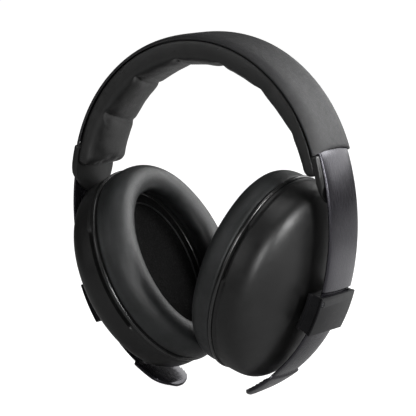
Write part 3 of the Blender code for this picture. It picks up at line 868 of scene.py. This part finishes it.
def cut_round(obj, place, radius):
    """Cuts a round hole along the place's x axis."""
    bm = bmesh.new()
    bmesh.ops.create_cone(bm, cap_ends=True, segments=40, radius1=radius, radius2=radius, depth=3 * MM)
    bmesh.ops.rotate(bm, verts=bm.verts, matrix=Matrix.Rotation(pi / 2, 3, "Y"))
    mesh = bpy.data.meshes.new("cutter")
    bm.to_mesh(mesh)
    bm.free()
    cutter = bpy.data.objects.new("cutter", mesh)
    bpy.context.scene.collection.objects.link(cutter)
    cutter.matrix_world = place
    modifier = obj.modifiers.new("hole", "BOOLEAN")
    modifier.operation = "DIFFERENCE"
    modifier.object = cutter
    bpy.context.view_layer.update()
    graph = bpy.context.evaluated_depsgraph_get()
    holed = bpy.data.meshes.new_from_object(obj.evaluated_get(graph))
    obj.modifiers.clear()
    obj.data = holed
    bpy.data.objects.remove(cutter)


def make_screw():
    """A recessed pan-head screw with a small dished socket: (x, radius) in mm, turned round x."""
    place = slider_frame(0) @ SCREW_OFFSET
    profile = [(0.05, 0.02), (0.05, 0.32), (0.28, 0.42), (0.30, 0.75), (0.24, 0.95), (0.08, 1.02),
               (-0.2, 1.02), (-0.2, 0.55), (-3.4, 0.55), (-3.6, 0.3)]
    rings = [[place @ p for p in oval(r * MM, r * MM, x * MM, 40)] for x, r in profile]
    screw = loft("slider_screw", rings, "dark_screw", sharp=40)
    on_both_sides(screw, "slider", "slider_screw")


# Cups -------------------------------------------------------------------------------------


def oval(half_width, half_height, x, count=160):
    """Points round an ellipse at x, which starts towards +Y."""
    points = []
    for k in range(count):
        a = 2 * pi * k / count
        points.append(Vector((x, half_width * cos(a), half_height * sin(a))))
    return points


def dome_profile():
    """(inset from the rim, x): a narrow foot, a wall, a rounded shoulder and a low crown.

    Eight rounds of averaging soften where they meet.
    """
    edge = SHOULDER_RADIUS * (1 - sin(SHOULDER_SLOPE))
    height = RIM_WALL + SHOULDER_RADIUS * cos(SHOULDER_SLOPE)
    reach, rise = RIM[0] - edge, DOME_HEIGHT - height
    radius = (reach**2 + rise**2) / (2 * rise)
    curve = [(0.0, x) for x in spaced(2.8 * MM, RIM_WALL, 6)]
    for a in spaced(0.0, pi / 2 - SHOULDER_SLOPE, 9)[1:]:
        curve.append((SHOULDER_RADIUS * (1 - cos(a)), RIM_WALL + SHOULDER_RADIUS * sin(a)))
    for r in spaced(reach, 0.4 * MM, 34)[1:]:
        curve.append((RIM[0] - r, DOME_HEIGHT - radius + sqrt(radius**2 - r**2)))
    for _ in range(8):
        softer = [
            tuple((a + 2 * b + c) / 4 for a, b, c in zip(*curve[i - 1:i + 2]))
            for i in range(1, len(curve) - 1)
        ]
        curve = [curve[0], *softer, curve[-1]]
    foot = [(0.25 * MM, x * MM) for x in (1.0, 1.8, 2.5)]
    return foot + curve


def make_cup_shell():
    """The dome, with a recessed slot each side of its foot. Two smaller rings close it underneath."""
    wall, around, slot_top, slot_end = 2.2 * MM, 200, 2.55 * MM, 0.8 * MM
    rings = [in_cup(oval(RIM[0] - wall, RIM[1] - wall, x * MM, around)) for x in (1.0, 6.0)]
    for inset, x in dome_profile():
        share = (RIM[0] - inset) / RIM[0]
        blend = min(inset / (14 * MM), 1.0)
        height = (RIM[1] - inset) * (1 - blend) + RIM[1] * share * blend
        ring = oval(RIM[0] - inset, height, x, around)
        for p in ring:
            for side, low, high in SLOTS:
                inside = min(p.z - low, high - p.z) / slot_end
                if side * p.y > 0 and inside > 0 and x < slot_top:
                    flat = Vector((0, p.y, p.z))
                    flat *= (flat.length - SLOT_DEPTH * min(inside, 1.0)) / flat.length
                    p.y, p.z = flat.y, flat.z
        rings.append(in_cup(ring))
    shell = loft("cup_shell", rings, "shell_plastic", sharp=45)
    on_both_sides(shell, "cup", "cup_shell")


def make_flange():
    """The thin glossy ring that clips the cushion onto the shell."""
    outline = [  # half width, half height and x, in mm
        (37.0, 41.3, -0.7), (37.35, 41.65, -0.45), (37.4, 41.7, 0.0), (37.35, 41.65, 0.45),
        (37.0, 41.3, 0.7), (31.0, 36.0, 0.7), (25.2, 31.5, 0.7), (24.9, 31.2, 0.4),
        (24.9, 31.2, -0.4), (25.2, 31.5, -0.7), (31.0, 36.0, -0.7),
    ]
    rings = [in_cup(oval(a * MM, b * MM, x * MM)) for a, b, x in outline]
    flange = loft("flange", rings, "flange_plastic", ring_loop=True, sharp=50)
    on_both_sides(flange, "cup", "cushion_plate")


def make_cushion():
    """The soft ring: a broad side wall, a rounded lip and an inner edge with light puckers."""
    around = 176
    inner_edge, inner_band, fixed_base = 24.0, 2.4, -2.2
    rings, pins = [], []
    for a, b, x in smooth_line(CUSHION_SECTION, 4):
        ring = oval(a * MM, b * MM, x * MM, around)
        inner = exp(-(((a - inner_edge) / inner_band) ** 2)) * (1.0 if x < -4 else 0.3)
        for k, p in enumerate(ring):
            angle = 2 * pi * k / around
            ripple = noise.noise(Vector((9 * cos(angle), 9 * sin(angle), 0.25 * x)))
            slow = noise.noise(Vector((2.2 * cos(angle), 2.2 * sin(angle), 5.0)))
            pull = (0.30 * ripple * inner + 0.22 * slow) * MM
            p -= Vector((0, p.y, p.z)).normalized() * pull
            p.x += 0.6 * pull
        rings.append(in_cup(ring))
        pins += [1.0 if x > fixed_base else 0.0] * around
    cushion = loft("ear_cushion", rings, "cushion_leather", ring_loop=True, sharp=180)
    inflate(cushion, pins, pressure=3.0, cap=0.7 * MM)
    add_subdivision(cushion)
    on_both_sides(cushion, "cup", "ear_cushion")


def make_foam_face():
    """The cloth over the foam, seen through the cushion's opening: a shallow dish with a raised brim."""
    shape = [  # half width, half height and x, in mm
        (32.6, 36.8, 1.9), (31.0, 35.2, 1.8), (27.5, 33.0, 1.2), (25.0, 30.6, 0.2),
        (23.2, 28.8, 0.0), (22.3, 27.9, 0.3), (20.0, 25.4, 0.6), (14.0, 18.0, 0.65),
        (7.0, 9.0, 0.6), (0.5, 0.6, 0.55),
    ]
    rings = []
    for a, b, x in smooth_line(shape, 4, closed=False):
        ring = oval(a * MM, b * MM, x * MM)
        for p in ring:
            p.x += 0.12 * MM * noise.fractal(p * 260, 1.0, 2.0, 3)
        rings.append(in_cup(ring))
    face = loft("foam_face", rings, "dark_cloth", sharp=180)
    on_both_sides(face, "cup", "foam_cloth")


def make_foam_hem():
    """The thin piping sewn round the cloth."""
    radius, half_width, half_height = 0.32 * MM, 21.6 * MM, 27.2 * MM
    rings = []
    for k in range(12):
        a = 2 * pi * k / 12
        r, x = radius * cos(a), radius * sin(a) - 0.05 * MM
        rings.append(in_cup(oval(half_width + r, half_height + r, x)))
    hem = loft("foam_hem", rings, "cushion_leather", ring_loop=True, sharp=180)
    on_both_sides(hem, "cup", None)


def finish_cad_nodes():
    """Gives each CAD node that still shows its detailed material."""
    by_slot = {row["node"]: row["material_slot"] for row in frame["record"]["subparts"]}
    for name, obj in frame["nodes"].items():
        if obj.hide_render:
            continue
        for place in obj.material_slots:
            place.material = MATERIALS[by_slot[name]]


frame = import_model()
cad_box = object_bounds()
bpy.context.scene.view_settings.view_transform = "Standard"
MATERIALS = make_materials()
add_camera()
add_world()
add_floor(cad_box[0][2] - FLOOR_DROP)
for light in LIGHTS:
    add_light(*light)
make_cover()
make_liner()
make_pad()
make_arm()
make_slider()
make_cup_shell()
make_flange()
make_cushion()
make_foam_face()
make_foam_hem()
finish_cad_nodes()
